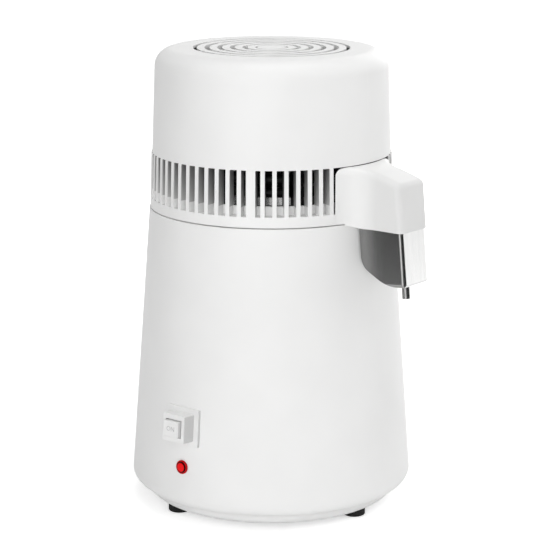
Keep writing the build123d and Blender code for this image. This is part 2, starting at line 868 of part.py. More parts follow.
def spout_hood():
    """Flared hood over the filter cup, with a leaning front and an arched roof."""
    tip = hood_front(hood_z) + overrun
    flat = Circle(ring_radius) + Pos(tip / 2, 0) * Rectangle(tip, 2 * hood_half_width)
    flat = fillet(flat.vertices().sort_by(Axis.X)[0:2], hood_flare_radius)
    root = math.asin((hood_half_width + hood_flare_radius) / (ring_radius + hood_flare_radius))
    root_x = ring_radius * math.cos(root)
    flat &= Pos((root_x + tip) / 2, 0) * Rectangle(tip - root_x, 2 * ring_radius)
    flat -= Circle(ring_skirt_radius)
    side = outline([
        (0, ring_z), (root_x, ring_z), (root_x + hood_sweep, hood_z), (hood_front(hood_z), hood_z),
        (hood_front(dome_z), dome_z), (0, dome_z),
    ], [(1, hood_sweep_round), (2, hood_sweep_round)])
    shape = Pos(0, 0, hood_z) * extrude(flat, amount=dome_z - hood_z)
    shape &= extrude(Plane.XZ * side, amount=ring_radius, both=True)
    shape &= hood_arch(0)
    roof = shape.faces().sort_by(Axis.Z)[-1]
    rims = [edge for edge in roof.edges() if edge.center().X > root_x + fit and edge_outside(edge)]
    rims = [edge for edge in rims if abs(edge.center().Y) > hood_half_width - fit]
    shape = fillet(rims, hood_top_round)
    front = shape.faces().sort_by(Axis.X)[-1]
    shape = fillet([edge for edge in front.edges() if edge.center().Z > hood_z + fit], hood_front_round)
    return shape - rod(housing_top_radius + seam_gap, ring_z - hood_z + overrun, hood_z - overrun)


def edge_outside(edge):
    """Whether an edge lies outside the inner wall of the vent ring."""
    middle = edge.position_at(0.5)
    return math.hypot(middle.X, middle.Y) > ring_radius


def vent_ring():
    """Louvred ring between housing and dome, moulded with the spout hood."""
    floor_under = floor_z - ring_floor_wall
    lip_inner = lip_radius - lip_wall
    ring = turned([
        (ring_skirt_radius, ring_z), (ring_radius, ring_z), (ring_face(floor_z), floor_z),
        (lip_radius, floor_z), (lip_radius, floor_z + lip_height), (lip_inner, floor_z + lip_height),
        (lip_inner, lid_top_z), (lip_radius, lid_top_z), (lip_radius, floor_under),
        (ring_skirt_radius, floor_under),
    ])
    crown_radius = dome_radius(crown_top_z) - dome_wall - fit
    crown = pipe(crown_radius, crown_radius - crown_wall, crown_depth + crown_rise, dome_z - crown_depth)
    bars = [vent_bar(angle, bar_width) for angle in bar_angles()]
    pillars = [vent_bar(angle, pillar_width) for angle in pillar_angles()]
    ring += bars + pillars + [crown, spout_hood()]
    through = crown_top_z - floor_under + 2 * overrun
    hole = rod(dome_screw_diameter / 2 + running_fit, through, floor_under - overrun)
    holes = [Rot(0, 0, angle) * Pos(dome_screw_circle_radius, 0, 0) * hole for angle in pillar_angles()]
    drip = Pos(ring_radius, 0, coil_end_z) * Rot(0, 90, 0) * Cylinder(
        nozzle_diameter / 2 + fit, 2 * (ring_radius - lip_radius))
    return ring - holes - hood_cavity() - drip


def dome_screws():
    """Long screws up through the pillars into the dome."""
    seat = floor_z - ring_floor_wall
    length = crown_top_z - seat + dome_screw_grip
    one = Pos(dome_screw_circle_radius, 0, seat) * screw(dome_screw_diameter, length)
    return Compound([Rot(0, 0, angle) * one for angle in pillar_angles()])


def dome_form():
    """Outer form of the dome, filled."""
    return turned([
        (0, dome_z), (dome_foot_radius, dome_z), (dome_radius(dome_top_z), dome_top_z), (0, dome_top_z),
    ], [(2, dome_round)])


def grille_bar_radius(number):
    """Radius of the middle of a ring bar of the grille, counted from zero at the hub."""
    return grille_radius * (grille_first_bar_share + grille_pitch_share * number)


def grille_slots():
    """Ring slots in the top of the dome, broken below its surface by the spokes."""
    deep = grille_depth + 2 * overrun
    low = dome_top_z - grille_depth - overrun
    edges = [grille_hub_radius]
    for k in range(grille_bar_count):
        middle = grille_bar_radius(k)
        edges += [middle - grille_bar_width / 2, middle + grille_bar_width / 2]
    edges.append(grille_radius)
    slots = [pipe(edges[k + 1], edges[k], deep, low) for k in range(0, len(edges), 2)]
    spoke = block(grille_radius, grille_spoke_width, deep - grille_spoke_drop, low - overrun)
    spoke = Pos(grille_radius / 2, 0, 0) * spoke
    spokes = [Rot(0, 0, 360 * k / grille_spoke_count) * spoke for k in range(grille_spoke_count)]
    return [slot - spokes for slot in slots]


def dome_cover():
    """Cover of the cooling head, with the air grille in its top and screw bosses inside."""
    top_under = dome_top_z - dome_wall
    inner_top = dome_radius(top_under) - dome_wall
    shell = turned([
        (dome_foot_radius, dome_z), (dome_radius(dome_top_z), dome_top_z), (0, dome_top_z),
        (0, top_under), (inner_top, top_under), (dome_foot_radius - dome_wall, dome_z),
    ], [(1, dome_round), (4, dome_round - dome_wall)])
    ribs_radius = grille_bar_radius(grille_bar_count - 1) + grille_bar_width / 2
    shell += rod(ribs_radius, grille_depth, dome_top_z - grille_depth)
    boss = rod(dome_screw_diameter / 2 + dome_boss_wall, dome_boss_length, crown_top_z)
    hole = rod(dome_screw_diameter / 2 + running_fit, dome_screw_grip + overrun + fit, crown_top_z - overrun)
    shell += [Rot(0, 0, angle) * Pos(dome_screw_circle_radius, 0, 0) * boss for angle in pillar_angles()]
    shell -= [Rot(0, 0, angle) * Pos(dome_screw_circle_radius, 0, 0) * hole for angle in pillar_angles()]
    deep = 2 * (dome_wall + overrun)
    shell -= fan_inlet_frame * Box(fan_body_width + 2 * fit, fan_body_tall + 2 * fit, deep)
    return shell - grille_slots()


def cup_form(inset, top):
    """Form of the filter cup in its own leaning frame, shrunk by an inset."""
    half = hood_half_width - hood_wall - fit - inset
    front = hood_reach - hood_wall - fit - inset
    low = inset - cup_drop
    sole = -cup_drop
    toe = front + inset
    side = outline([
        (0, sole + cup_heel_height), (cup_heel_length, sole), (toe, sole),
        (toe, top + inset), (0, top + inset),
    ], [(0, cup_heel_round), (1, cup_sole_round), (2, cup_front_round)])
    if inset > 0:
        side = offset(side, amount=-inset)
    form = extrude(Plane.XZ * side, amount=half, both=True)
    face = outline([(-half, low), (half, low), (half, top), (-half, top)],
                   [(0, cup_corner_round - inset), (1, cup_corner_round - inset)])
    form &= extrude(Plane.YZ * face, amount=front + overrun)
    plan = outline([(0, -half), (front, -half), (front, half), (0, half)],
                   [(1, cup_corner_round - inset), (2, cup_corner_round - inset)])
    return form & Pos(0, 0, low) * extrude(plan, amount=top - low)


def filter_cup():
    """Stainless cup that slides down out of the hood."""
    cup = cup_form(0, cup_rise) - cup_form(cup_wall, cup_rise + overrun)
    bore = rod(cup_outlet_diameter / 2 - cup_outlet_wall, cup_wall + 2 * overrun, -cup_drop - overrun)
    return cup_frame * (cup - Pos(cup_outlet_u, 0, 0) * bore)


def cup_outlet():
    """Short tube under the filter cup."""
    radius = cup_outlet_diameter / 2
    tube = pipe(radius, radius - cup_outlet_wall, cup_outlet_length, -cup_drop - cup_outlet_length)
    return cup_frame * Pos(cup_outlet_u, 0, 0) * tube


def coil_nodes():
    """Points and directions that the coil passes through, from the riser to the nozzle."""
    first = coil_start_angle()
    turn = Rot(0, 0, first)
    entry = coil_radius - coil_entry_radius
    forward = turned_vector(1, 0, first)
    top = Pos(0, 0, coil_top_z)
    nodes = [
        ((top * turn * Pos(entry - coil_tube_diameter, -coil_entry_radius, 0)).position, forward),
        ((top * turn * Pos(entry, -coil_entry_radius, 0)).position, forward),
        ((top * turn * Pos(coil_radius, 0, 0)).position, turned_vector(0, 1, first)),
    ]
    fall = coil_pitch / (2 * math.pi * coil_radius)
    for quarter in range(1, coil_quarter_count + 1):
        angle = first + 90 * quarter
        last = quarter == coil_quarter_count
        drop = coil_pitch / 4 * (quarter - (1 if last else 0.5))
        place = Rot(0, 0, angle) * Pos(coil_radius, 0, coil_top_z - drop)
        along = turned_vector(0, 1, angle)
        nodes.append((place.position, Vector(along.X, along.Y, 0 if last else -fall).normalized()))
    end_x = math.sqrt((coil_radius + coil_exit_radius) ** 2 - coil_exit_radius ** 2)
    nodes.append((Vector(end_x, 0, coil_end_z), Vector(1, 0, 0)))
    nodes.append((Vector(end_x + coil_tube_diameter, 0, coil_end_z), Vector(1, 0, 0)))
    return nodes


def turned_vector(x, y, angle):
    """Level direction turned about the axis."""
    turn = math.radians(angle)
    return Vector(x * math.cos(turn) - y * math.sin(turn), x * math.sin(turn) + y * math.cos(turn), 0)


def coil_start_angle():
    """Angle of the coil's first turn, so that its last one leaves towards the spout."""
    leave = math.degrees(math.asin(coil_exit_radius / (coil_radius + coil_exit_radius)))
    return -leave - 90 * coil_quarter_count


def biarc(start, ahead, end, onward):
    """Two tangent arcs between two points with given directions."""
    span = end - start
    both = span.dot(ahead + onward)
    bend = 2 * (1 - ahead.dot(onward))
    reach = (math.sqrt(both ** 2 + bend * span.dot(span)) - both) / bend
    near = start + ahead * reach
    far = end - onward * reach
    middle = (near + far) / 2
    return [TangentArc(start, middle, tangent=ahead),
            TangentArc(middle, end, tangent=(far - near).normalized())]


def coil_path():
    """Edges of the coil's centre line: a straight end, two arcs for each stretch, a straight end."""
    nodes = coil_nodes()
    edges = [Line(nodes[0][0], nodes[1][0])]
    for (start, ahead), (end, onward) in zip(nodes[1:-2], nodes[2:-1]):
        edges += biarc(start, ahead, end, onward)
    return edges + [Line(nodes[-2][0], nodes[-1][0])]


def coil_gap(edges):
    """Least gap between stretches of the coil that are not neighbours."""
    steps = [k / coil_arc_point_count for k in range(coil_arc_point_count)]
    points = [edge.position_at(step) for edge in edges for step in steps]
    apart = coil_neighbour_count * coil_arc_point_count
    closest = min((a - b).length for i, a in enumerate(points) for b in points[i + apart:])
    return closest - coil_tube_diameter


def condenser_coil():
    """One unbroken tube wound round the head from the riser to the nozzle."""
    edges = coil_path()
    print("coil gap to itself:", round(coil_gap(edges), 2), "limit", coil_gap_limit)
    start, ahead = coil_nodes()[0]
    tube = Circle(coil_tube_radius) - Circle(coil_tube_radius - coil_tube_wall)
    return sweep(Plane(start, z_dir=ahead) * tube, path=Wire(edges))


def riser_place():
    """Place of the steam riser beside the start of the coil."""
    along = coil_radius - coil_entry_radius - coil_tube_diameter - riser_head_side / 2
    return Rot(0, 0, coil_start_angle()) * Pos(along, -coil_entry_radius, 0)


def steam_riser():
    """Pipe from the lid plate to a square head that feeds the coil."""
    head_z = coil_top_z - riser_head_height / 2
    radius = riser_diameter / 2
    shape = rod(radius, head_z - lid_z, lid_z)
    shape += block(riser_head_side, riser_head_side, riser_head_height, head_z)
    shape -= rod(radius - riser_wall, coil_top_z - lid_z + overrun, lid_z - overrun)
    port = rod(coil_tube_radius - coil_tube_wall, riser_head_side)
    shape -= Pos(0, 0, coil_top_z) * Rot(0, 90, 0) * port
    return riser_place() * shape


def outlet_nozzle():
    """Bent tube from the end of the coil down into the mouth of the cup."""
    start = coil_nodes()[-1][0]
    bend = start + Vector(nozzle_run + nozzle_bend_radius, 0, 0)
    tip = bend - Vector(0, 0, nozzle_bend_radius + nozzle_drop)
    path = FilletPolyline(start, bend, tip, radius=nozzle_bend_radius)
    radius = nozzle_diameter / 2
    section = Plane(start, z_dir=Vector(1, 0, 0)) * (Circle(radius) - Circle(radius - nozzle_wall))
    return sweep(section, path=path)


def condenser_fins():
    """Upright plates joined by bands that stand round the coil on the lid plate."""
    outer = band_radius + band_wall
    fin_top = fin_z + fin_height
    levels = [(lid_top_z, fin_start + band_height), (fin_z + (fin_height - band_height) / 2, band_height),
              (fin_top - band_height, band_height)]
    bands = [pipe(outer, band_radius, height, z) for z, height in levels]
    root = band_radius + band_wall / 2
    fin = Pos((root + fin_radius) / 2, 0, 0) * block(fin_radius - root, fin_thickness, fin_height, fin_z)
    shape = bands[0] + bands[1:] + [Rot(0, 0, 360 * k / fin_count) * fin for k in range(fin_count)]
    notch = Pos(coil_radius, -coil_exit_radius / 2, coil_end_z) * Box(
        2 * fin_radius - coil_radius, coil_exit_radius + 2 * fin_notch_half_width, 2 * fin_notch_half_width)
    return shape - notch


def motor_stand():
    """Pressed plate on three legs that carries the motor over the lid."""
    plate_z = stand_top_z - stand_plate
    arm = Pos(stand_foot_radius / 2, 0, 0) * block(stand_foot_radius, stand_arm_width, stand_plate, plate_z)
    leg = Pos(stand_foot_radius - stand_plate / 2, 0, 0) * block(
        stand_plate, stand_arm_width, stand_top_z - lid_top_z, lid_top_z)
    foot = Pos(stand_foot_radius - stand_foot_length / 2, 0, 0) * block(
        stand_foot_length, stand_arm_width, stand_plate, lid_top_z)
    turns = [Rot(0, 0, stand_first_angle + 360 * k / stand_leg_count) for k in range(stand_leg_count)]
    shape = rod(stand_hub_radius, stand_plate, plate_z)
    shape += [turn * piece for turn in turns for piece in (arm, leg, foot)]
    shape -= around(rod(rivet_diameter / 2 + running_fit, stand_plate + 2 * overrun, lid_top_z - overrun),
                    rivet_circle_radius, stand_leg_count, stand_first_angle)
    return shape - motor_screw_holes(plate_z - overrun, stand_plate + 2 * overrun)


def motor_screw_holes(z, length):
    """Holes for the two long motor screws."""
    hole = rod(motor_screw_diameter / 2 + running_fit, length, z)
    return [Pos(side * motor_screw_offset, 0, 0) * hole for side in (-1, 1)]


def stand_rivets():
    """Rivets that hold the stand's feet to the lid plate."""
    stem = rod(rivet_diameter / 2, lid_thickness + stand_plate, lid_z)
    head = rod(screw_head_share * rivet_diameter / 2, stand_plate, lid_top_z + stand_plate)
    return Compound(around(stem + head, rivet_circle_radius, stand_leg_count, stand_first_angle))


def motor_bracket():
    """Lower end bracket with two posts and a bearing boss."""
    shape = rounded_block(2 * core_half_width, bracket_width, bracket_plate, bracket_post_radius, stand_top_z)
    post = rod(bracket_post_radius, core_z - stand_top_z, stand_top_z)
    shape += [Pos(side * motor_screw_offset, 0, 0) * post for side in (-1, 1)]
    shape += rod(bracket_boss_radius, bracket_boss_height, stand_top_z)
    shape -= rod(bearing_radius + running_fit, bracket_boss_height + 2 * overrun, stand_top_z - overrun)
    return shape - motor_screw_holes(stand_top_z - overrun, core_z - stand_top_z + 2 * overrun)


def upper(shape):
    """Copy of a lower motor piece mirrored to the top of the core."""
    return mirror(shape, Plane.XY.offset(core_z + core_stack / 2))


def bearing():
    """Plain bush in the lower bracket."""
    return pipe(bearing_radius, shaft_radius + running_fit, bracket_boss_height, stand_top_z)


def core_back():
    """How far the motor core reaches behind the shaft."""
    return core_front + core_window + core_leg


def motor_core():
    """Stack of laminations with a rotor bore and a window for the winding."""
    deep = core_stack + 2 * overrun
    low = core_z - overrun
    length = core_front + core_back()
    shape = Pos(0, length / 2 - core_front, 0) * block(2 * core_half_width, length, core_stack, core_z)
    window = block(2 * (core_half_width - core_leg), core_window, deep, low)
    window = Pos(0, core_front + core_window / 2, 0) * window
    return shape - window - rod(rotor_radius + air_gap, deep, low) - motor_screw_holes(low, deep)


def motor_winding():
    """Winding on the back leg of the core."""
    width = 2 * (core_half_width - core_leg - winding_margin)
    middle = core_back() - core_leg / 2
    high = core_stack + 2 * winding_build
    ring = block(width, core_leg + 2 * winding_build, high, core_z - winding_build)
    slot = block(width + 2 * overrun, core_leg + 2 * running_fit,
                 core_stack + 2 * running_fit, core_z - running_fit)
    ring = fillet(ring.edges().filter_by(Axis.X), winding_build / 2)
    return Pos(0, middle, 0) * (ring - slot)


def motor_screws():
    """Two long screws through the motor into the stand."""
    length = motor_top_z - stand_top_z + stand_plate
    one = Pos(0, 0, motor_top_z) * Rot(180, 0, 0) * screw(motor_screw_diameter, length)
    return Compound([Pos(side * motor_screw_offset, 0, 0) * one for side in (-1, 1)])


def fan_shaft():
    """Shaft through the motor up to the fan blade."""
    return rod(shaft_radius, shaft_top_z - shaft_z, shaft_z)


def motor_rotor():
    """Rotor on the shaft inside the core."""
    return pipe(rotor_radius, shaft_radius + running_fit, core_stack - 2 * fit, core_z + fit)


def blade_hub_z():
    """Level of the underside of the blade's hub."""
    return shaft_top_z - blade_hub_inset - blade_hub_height


def fan_blade():
    """Fan with pitched blades round a hub."""
    low = blade_hub_z()
    half = math.radians(blade_sweep_angle / 2)
    arc = ThreePointArc(
        (blade_tip_radius * math.cos(half), -blade_tip_radius * math.sin(half)), (blade_tip_radius, 0),
        (blade_tip_radius * math.cos(half), blade_tip_radius * math.sin(half)))
    root = (blade_root_radius * math.cos(half), blade_root_radius * math.sin(half))
    far_root = (root[0], -root[1])
    flat = make_face([arc, Line(arc @ 1, root), Line(root, far_root), Line(far_root, arc @ 0)])
    flat = fillet(flat.vertices().sort_by(Axis.X)[-2:], blade_round)
    blade = extrude(flat, amount=blade_thickness / 2, both=True)
    blade = Pos(0, 0, low + blade_hub_height / 2) * Rot(blade_pitch_angle, 0, 0) * blade
    hub = rod(blade_hub_radius, blade_hub_height, low)
    shape = hub + [Rot(0, 0, 360 * k / blade_count) * blade for k in range(blade_count)]
    return shape - rod(shaft_radius + running_fit, blade_hub_height + 2 * overrun, low - overrun)


def fan_nut():
    """Nut that holds the blade on the shaft."""
    top = blade_hub_z() + blade_hub_height
    return hexagon(fan_nut_width, fan_nut_height, shaft_radius + running_fit, top)


def wire(points):
    """Insulated wire along straight runs joined by bends."""
    path = FilletPolyline(*points, radius=wire_bend_radius)
    return sweep(Plane(path @ 0, z_dir=path % 0) * Circle(wire_diameter / 2), path=path)


def polar(radius, angle, z):
    """Point at a radius, an angle and a height."""
    return turned_vector(radius, 0, angle) + Vector(0, 0, z)


def mains_end(pole):
    """End of a mains pin and the point a lead further in."""
    tip = mains_frame * mains_pin_places()[pole] * Pos(0, 0, -mains_body_depth - spade_length)
    return [tip.position, (tip * Pos(0, 0, -wire_lead)).position]


def switch_end(side):
    """End of a switch spade and the point a lead further down."""
    low = running_fit - switch_opening_tall / 2 - spade_length
    tip = switch_frame * Pos(side * spade_spacing / 2, low, -switch_body_depth / 2 - housing_wall)
    return [tip.position, (tip * Pos(0, -wire_lead, 0)).position]


def thermostat_end(name, side):
    """End of a thermostat spade and the point a lead further down."""
    low = tank_z - thermostat_cap_height - thermostat_base_height - spade_length
    tip = polar(thermostat_circle_radius + side * spade_spacing / 2, thermostat_angles[name], low)
    return [tip, tip - Vector(0, 0, wire_lead)]


def heater_end(end):
    """End of a heater pin and the point a lead further down."""
    tip = heater_ends()[end] - Vector(0, 0, heater_leg_length + heater_pin_length)
    return [tip, tip - Vector(0, 0, wire_lead)]


def fan_wire(side):
    """Wire from a pin of the fan inlet to the motor winding."""
    tip = fan_inlet_frame * Pos(side * fan_pin_spacing / 2, 0, -fan_body_depth - spade_length)
    start = [tip.position, (tip * Pos(0, 0, -wire_lead)).position]
    face = -(core_half_width - core_leg - winding_margin)
    end = Vector(face, core_back() - core_leg / 2 - side * spade_spacing / 2, core_top_z + winding_build / 2)
    over_z = coil_top_z + coil_tube_radius + fan_wire_rise
    over = polar(coil_radius, fan_wire_angle + side * fan_wire_spread, over_z)
    return wire(start + [over, end - Vector(wire_lead, 0, 0), end])


def base_wires():
    """Wires that join the inlet, the switch, the thermostats and the heater."""
    level = base_z + base_wall + wire_rise
    high = level + wire_climb
    live = [polar(wire_circle_radius, *stop) for stop in zip(live_wire_angles, (level, level, high))]
    fed = [polar(wire_circle_radius, *stop) for stop in zip(switch_wire_angles, (high, level, level))]
    return {
        "live_wire": wire(mains_end(0) + live + switch_end(-1)[::-1]),
        "switch_wire": wire(switch_end(1) + fed + thermostat_end("thermostat", 1)[::-1]),
        "heater_wire": wire(thermostat_end("thermostat", -1) + heater_end(0)[::-1]),
        "neutral_wire": wire(mains_end(1) + thermostat_end("thermal_cutout", 1)[::-1]),
        "return_wire": wire(thermostat_end("thermal_cutout", -1) + heater_end(1)[::-1]),
    }


cup_back_x = housing_radius(hood_z) + cup_wall_gap
cup_outlet_u = hood_reach - hood_wall - fit - cup_outlet_inset
cup_frame = Plane((cup_back_x, 0, hood_z), x_dir=(1, 0, lean_slope), z_dir=(-lean_slope, 0, 1)).location
rivet_circle_radius = stand_foot_radius - stand_foot_length / 2

pieces = {
    "outer_housing": outer_housing(),
    "base_cover": base_cover(),
    "base_screws": base_screws(),
    "boiling_tank": boiling_tank(),
    "heater_plate": heater_plate(),
    "heater_element": heater_element(),
    "heater_clamp": heater_clamp(),
    "clamp_nut": clamp_nut(),
    "switch_bezel": switch_bezel(),
    "switch_body": switch_body(),
    "power_button": power_button(),
    "indicator_lens": indicator_lens(),
    "indicator_lamp": indicator_lamp(),
    "mains_inlet": mains_inlet(),
    "mains_pins": mains_pins(),
    "mains_screws": mains_screws(),
    "fan_outlet": fan_outlet(),
    "fan_outlet_contacts": fan_outlet_contacts(),
    "fan_inlet": fan_inlet(),
    "fan_inlet_pins": fan_inlet_pins(),
    "lid_seal": lid_seal(),
    "lid_plate": lid_plate(),
    "vent_ring": vent_ring(),
    "dome_cover": dome_cover(),
    "dome_screws": dome_screws(),
    "filter_cup": filter_cup(),
    "cup_outlet": cup_outlet(),
    "condenser_coil": condenser_coil(),
    "steam_riser": steam_riser(),
    "outlet_nozzle": outlet_nozzle(),
    "condenser_fins": condenser_fins(),
    "motor_stand": motor_stand(),
    "stand_rivets": stand_rivets(),
    "lower_bracket": motor_bracket(),
    "upper_bracket": upper(motor_bracket()),
    "lower_bearing": bearing(),
    "upper_bearing": upper(bearing()),
    "motor_core": motor_core(),
    "motor_winding": motor_winding(),
    "motor_screws": motor_screws(),
    "fan_shaft": fan_shaft(),
    "motor_rotor": motor_rotor(),
    "fan_blade": fan_blade(),
    "fan_nut": fan_nut(),
    "fan_wire_1": fan_wire(-1),
    "fan_wire_2": fan_wire(1),
}
pieces.update(base_wires())
for name, angle in thermostat_angles.items():
    pieces[name] = disc_thermostat(angle)
for number, place in enumerate(foot_places, 1):
    pieces[f"rubber_foot_{number}"] = place * rubber_foot()

os.makedirs("parts", exist_ok=True)
for name, piece in pieces.items():
    export_step(piece, f"parts/{name}.step")
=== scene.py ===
import json
import math

import bpy
from mathutils import Matrix, Quaternion, Vector


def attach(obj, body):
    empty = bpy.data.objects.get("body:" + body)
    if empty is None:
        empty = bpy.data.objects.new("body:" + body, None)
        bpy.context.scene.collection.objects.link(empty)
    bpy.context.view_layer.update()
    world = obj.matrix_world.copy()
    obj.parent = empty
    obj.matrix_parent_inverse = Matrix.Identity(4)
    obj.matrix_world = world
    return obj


# Countertop water distiller in a white studio. Metres, +Z up, spout along +X, power button facing -Y.

# Camera, worked out from the outlines in the photograph
image_side = 560
focal_pixels = 2021.3
sensor_width = 36.0
camera_turn = math.radians(38.5)
camera_distance = 1.6
camera_height = 0.56
aim_height = 0.1784
aim_right = 0.00694
camera_roll = 0.002

# Floor: its colour as a lit surface, and how bright it shows near the object and far from it
floor_radius = 4.5
floor_colour = (0.9, 0.9, 0.9, 1.0)
floor_roughness = 0.9
floor_shine = 0.0
floor_glows = (0.5, 1.0)
floor_fade = (0.3, 0.9)

# World: its strength as a fill light, and as the background of the picture and of reflections
world_colour = (1.0, 1.0, 1.0, 1.0)
world_levels = (0.25, 1.0)

# Softboxes: name, turn from the front and height angle in degrees, and strength in watts
softboxes = [
    ("front_left", -22.0, 15.0, 10.6),
    ("front", 5.0, 15.0, 7.4),
    ("right", 95.0, 21.0, 7.4),
    ("rear_right", 150.0, 20.0, 9.5),
    ("high_right", 90.0, 55.0, 2.5),
    ("overhead", 0.0, 86.0, 12.5),
]
lamp_aim = (0.0, 0.0, 0.19)
lamp_distance = 1.9
lamp_side = 1.2

# Standing cards that only reflections show: name, turns from the front in degrees and level of grey
cards = [
    ("left_card", -113.0, -40.0, 0.1),
    ("right_card", 1.0, 76.0, 0.0),
]
card_radius = 0.58
card_height = 0.9
card_step_count = 24

# Air vents: painted shade on the faces between the bars, greyer than the outer face, most of all under the
# dome
vent_heights = (0.2572, 0.2856)
vent_painted_shades = (0.6, 0.2)
vent_foot_radius = 0.09698
vent_draft = 0.0273
vent_edge = 0.0011

# Spout hood: painted shade, a little greyer than the ring, above its foot and from its root outwards
hood_foot = 0.236
hood_reaches = (0.099, 0.116)
hood_painted_shade = 0.88

# Filter cup: painted shade makes its steel darker than the tank's, most of all on its flat sides, dulling
# their reflections
cup_reach = 0.098
cup_painted_shade = 0.725
cup_side_painted_shade = 0.5

# Switch: painted shade makes its flanks greyer than its front
switch_side_painted_shade = 0.72

# How squarely a face has to face along an axis for the painted shade of a side to begin, and to be full
painted_side_leans = (0.5, 0.9)

# Red lens: height of its axis, reach of its rim, and how light its painted shade leaves it at shares of
# that reach
lens_height = 0.04835
lens_reach = 0.0055
lens_painted_shades = ((0.0, 1.0), (0.6, 1.0), (0.66, 0.02), (0.8, 0.02), (0.86, 0.7), (0.95, 0.5))

# Raised lettering on the power button, placed on its leaning face
button_face = (0.0, -0.12593, 0.08268)
button_slope = 0.0738
letters = "ON"
letter_height = 0.0052
letter_rise = 0.0002

# Grain of the finishes: detail of the fine and the broad noise, and where the broad one blends two colours
fine_detail = 3
broad_detail = 2
blend_span = (0.35, 0.65)

# Span of a share or a choice, from none to all
unit_span = (0.0, 1.0)

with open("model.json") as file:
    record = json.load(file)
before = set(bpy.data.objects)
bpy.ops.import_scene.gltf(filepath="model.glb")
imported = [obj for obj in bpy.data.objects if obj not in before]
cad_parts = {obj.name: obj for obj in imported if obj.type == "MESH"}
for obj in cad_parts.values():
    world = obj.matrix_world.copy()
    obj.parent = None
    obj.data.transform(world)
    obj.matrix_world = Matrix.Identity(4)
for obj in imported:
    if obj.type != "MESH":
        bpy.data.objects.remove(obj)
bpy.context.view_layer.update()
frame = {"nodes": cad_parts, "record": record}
nodes = frame["nodes"]


def link(obj):
    """Put an object into the scene."""
    bpy.context.scene.collection.objects.link(obj)
    return obj


def new_material(name):
    """Plain principled material and its node tree."""
    material = bpy.data.materials.new(name)
    material.use_nodes = True
    return material, material.node_tree


def feed(tree, socket, value):
    """Set an input to a value, or link it to the output of another node."""
    if isinstance(value, bpy.types.NodeSocket):
        tree.links.new(value, socket)
    else:
        socket.default_value = value


def feed_named(tree, node, inputs):
    """Feed inputs of a node by name. An underscore stands for a space."""
    for name, value in inputs.items():
        feed(tree, node.inputs[name.replace("_", " ")], value)


def add_node(tree, kind, **inputs):
    """New node with some of its inputs fed by name."""
    node = tree.nodes.new(kind)
    feed_named(tree, node, inputs)
    return node


def math_result(tree, operation, *values):
    """Result of one step of arithmetic on numbers or outputs."""
    node = tree.nodes.new("ShaderNodeMath")
    node.operation = operation
    for socket, value in zip(node.inputs, values):
        feed(tree, socket, value)
    return node.outputs["Value"]


def map_range(tree, value, span, levels):
    """Level that runs from the first to the second while a value runs over a span."""
    node = add_node(tree, "ShaderNodeMapRange", Value=value, From_Min=span[0], From_Max=span[1],
                    To_Min=levels[0], To_Max=levels[1])
    return node.outputs["Result"]


def vector_length(tree, vector):
    """Length of a vector."""
    node = tree.nodes.new("ShaderNodeVectorMath")
    node.operation = "LENGTH"
    feed(tree, node.inputs[0], vector)
    return node.outputs["Value"]


def flat_length(tree, first, second):
    """Length of a vector with two parts."""
    flat = add_node(tree, "ShaderNodeCombineXYZ", X=first, Y=second)
    return vector_length(tree, flat.outputs["Vector"])


def coordinate(tree, kind):
    """Coordinates fixed to the object: the place, or the way that the surface faces."""
    return tree.nodes.new("ShaderNodeTexCoord").outputs[kind]


def coordinate_parts(tree, kind):
    """X, Y and Z of coordinates fixed to the object."""
    return add_node(tree, "ShaderNodeSeparateXYZ", Vector=coordinate(tree, kind)).outputs


def grain_noise(tree, size, stretch, detail):
    """Noise fixed to the object, with a feature size in metres and a stretch along each axis."""
    place = coordinate(tree, "Object")
    stretched = add_node(tree, "ShaderNodeMapping", Vector=place, Scale=stretch).outputs["Vector"]
    noise = add_node(tree, "ShaderNodeTexNoise", Vector=stretched, Scale=1 / size, Detail=detail)
    return noise.outputs["Fac"]


def colour_ramp(tree, factor, stops):
    """Colour that runs through stops, each a spot and a colour, with a factor."""
    node = add_node(tree, "ShaderNodeValToRGB", Fac=factor)
    elements = node.color_ramp.elements
    while len(elements) < len(stops):
        elements.new(stops[len(elements)][0])
    for element, (spot, colour) in zip(elements, stops):
        element.position = spot
        element.color = (*colour, 1)
    return node.outputs["Color"]


def surface(name, low, high, gloss, grain, relief, cloud, stretch=(1, 1, 1), **inputs):
    """Material whose colour, gloss and relief vary with a grain fixed to the object."""
    material, tree = new_material(name)
    shader = tree.nodes["Principled BSDF"]
    fine = grain_noise(tree, grain, stretch, fine_detail)
    broad = grain_noise(tree, cloud, stretch, broad_detail)
    bump = add_node(tree, "ShaderNodeBump", Strength=1.0, Distance=relief, Height=fine)
    inputs["Base_Color"] = colour_ramp(tree, broad, list(zip(blend_span, (low, high))))
    inputs["Roughness"] = map_range(tree, fine, unit_span, gloss)
    inputs["Normal"] = bump.outputs["Normal"]
    feed_named(tree, shader, inputs)
    return material


